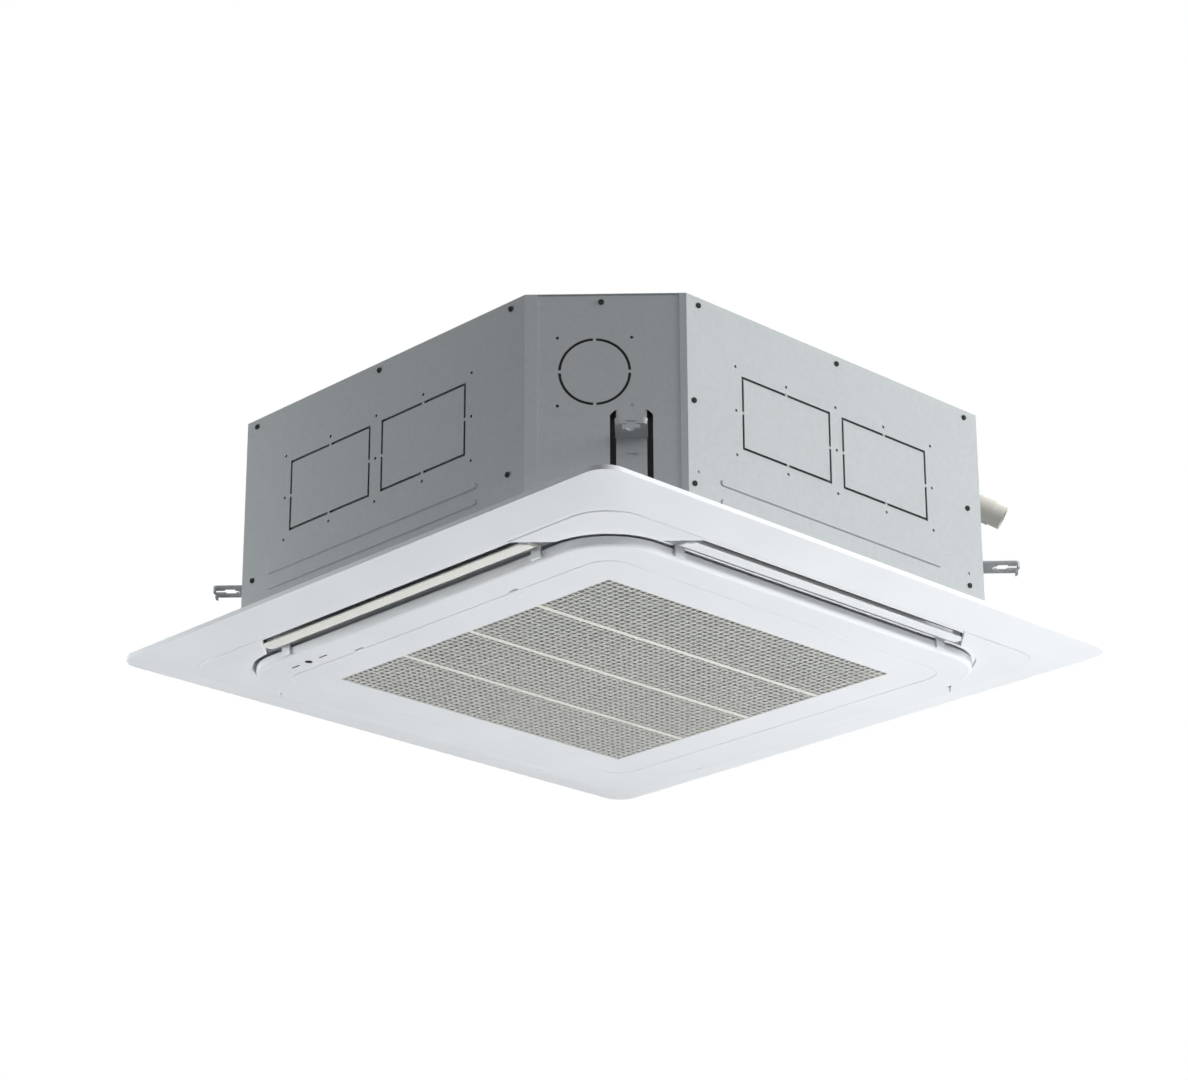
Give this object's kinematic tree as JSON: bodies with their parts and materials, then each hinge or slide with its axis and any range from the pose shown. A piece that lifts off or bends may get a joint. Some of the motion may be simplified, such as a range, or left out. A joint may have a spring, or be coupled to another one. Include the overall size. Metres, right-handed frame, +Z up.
{
  "type": "ceiling cassette air conditioner",
  "caption": "Square ceiling cassette air conditioner: galvanised casing with cut corners, hanging lugs and knockouts over a white panel with side vanes and a drop-down mesh grille.",
  "frame": {"origin": "centre of the unit on the ceiling plane, which is the top of the panel's rim", "axes": "+Z up into the ceiling space; -Y the front side with the receiver window, +X the right side; +Y the side with the refrigerant pipes"},
  "size_m": [0.95, 0.95, 0.3357],
  "materials": {
    "galvanised_sheet": "satin",
    "bracket_steel": "satin",
    "screw_steel": "satin",
    "bright_steel": "satin",
    "white_plastic": "satin",
    "vane_plastic": "satin",
    "mesh_plastic": "matte",
    "filter_net": "matte",
    "grey_plastic": "matte",
    "dark_foam": "matte",
    "white_foam": "matte",
    "coil_aluminium": "satin",
    "copper": "satin",
    "motor_case": "satin",
    "board_green": "satin",
    "spigot_plastic": "satin",
    "dark_lens": "gloss"
  },
  "bodies": {
    "casing": {"bell_mouth": "grey_plastic", "casing_screws": "screw_steel", "circuit_board": "board_green", "coil_end_plates": "galvanised_sheet", "coil_fins": "coil_aluminium", "coil_tubes": "copper", "control_box": "galvanised_sheet", "control_box_lid": "galvanised_sheet", "corner_cover_back_left": "white_plastic", "corner_cover_back_right": "white_plastic", "corner_cover_front_left": "white_plastic", "corner_cover_front_right": "white_plastic", "corner_panel_back_left": "galvanised_sheet", "corner_panel_back_right": "galvanised_sheet", "corner_panel_front_left": "galvanised_sheet", "corner_panel_front_right": "galvanised_sheet", "drain_outlet": "spigot_plastic", "drain_pan": "white_foam", "drain_pump": "grey_plastic", "fan_motor": "motor_case", "float_switch": "white_plastic", "gas_pipe": "copper", "grille_hinge_pins": "bright_steel", "hanging_bracket_back_left": "bracket_steel", "hanging_bracket_back_right": "bracket_steel", "hanging_bracket_front_left": "bracket_steel", "hanging_bracket_front_right": "bracket_steel", "latch_catches": "white_plastic", "liquid_pipe": "copper", "motor_bracket": "galvanised_sheet", "panel_frame": "white_plastic", "panel_gasket": "dark_foam", "panel_screws": "bright_steel", "side_panel_back": "galvanised_sheet", "side_panel_front": "galvanised_sheet", "side_panel_left": "galvanised_sheet", "side_panel_right": "galvanised_sheet", "terminal_block": "grey_plastic", "top_liner": "dark_foam", "top_plate": "galvanised_sheet", "vane_bearings": "grey_plastic", "vane_motors": "motor_case", "wall_liner": "dark_foam"},
    "fan": {"fan_rotor": "grey_plastic", "motor_shaft": "bright_steel", "hub_nut": "bright_steel"},
    "front_vane": {"vane_front": "vane_plastic"},
    "right_vane": {"vane_right": "vane_plastic"},
    "back_vane": {"vane_back": "vane_plastic"},
    "left_vane": {"vane_left": "vane_plastic"},
    "grille": {"intake_grille": "white_plastic", "grille_mesh": "mesh_plastic", "air_filter": "filter_net", "receiver_window": "dark_lens"},
    "left_latch": {"grille_latch_left": "white_plastic"},
    "right_latch": {"grille_latch_right": "white_plastic"},
    "impeller": {"pump_impeller": "white_plastic"},
    "float": {"pump_float": "white_foam"}
  },
  "joints": [
    {"name": "fan_spin", "type": "hinge", "parent": "casing", "child": "fan", "pos_m": [0, 0, 0.19], "axis": [0, 0, 1], "continuous": true},
    {"name": "front_vane_tilt", "type": "hinge", "parent": "casing", "child": "front_vane", "pos_m": [0, -0.3885, -0.011], "axis": [1, 0, 0], "range_deg": [-6, 50]},
    {"name": "right_vane_tilt", "type": "hinge", "parent": "casing", "child": "right_vane", "pos_m": [0.3885, 0, -0.011], "axis": [0, 1, 0], "range_deg": [-6, 50]},
    {"name": "back_vane_tilt", "type": "hinge", "parent": "casing", "child": "back_vane", "pos_m": [0, 0.3885, -0.011], "axis": [-1, 0, 0], "range_deg": [-6, 50]},
    {"name": "left_vane_tilt", "type": "hinge", "parent": "casing", "child": "left_vane", "pos_m": [-0.3885, 0, -0.011], "axis": [0, -1, 0], "range_deg": [-6, 50]},
    {"name": "grille_swing", "type": "hinge", "parent": "casing", "child": "grille", "pos_m": [0, 0.359, -0.027], "axis": [1, 0, 0], "range_deg": [0, 88]},
    {"name": "left_latch_slide", "type": "slide", "parent": "grille", "child": "left_latch", "axis": [0, -1, 0], "range_m": [0, 0.005]},
    {"name": "right_latch_slide", "type": "slide", "parent": "grille", "child": "right_latch", "axis": [0, -1, 0], "range_m": [0, 0.005]},
    {"name": "impeller_spin", "type": "hinge", "parent": "casing", "child": "impeller", "pos_m": [0.2885, 0.2885, 0.045], "axis": [0, 0, 1], "continuous": true},
    {"name": "float_lift", "type": "slide", "parent": "casing", "child": "float", "axis": [0, 0, 1], "range_m": [0, 0.01]}
  ]
}
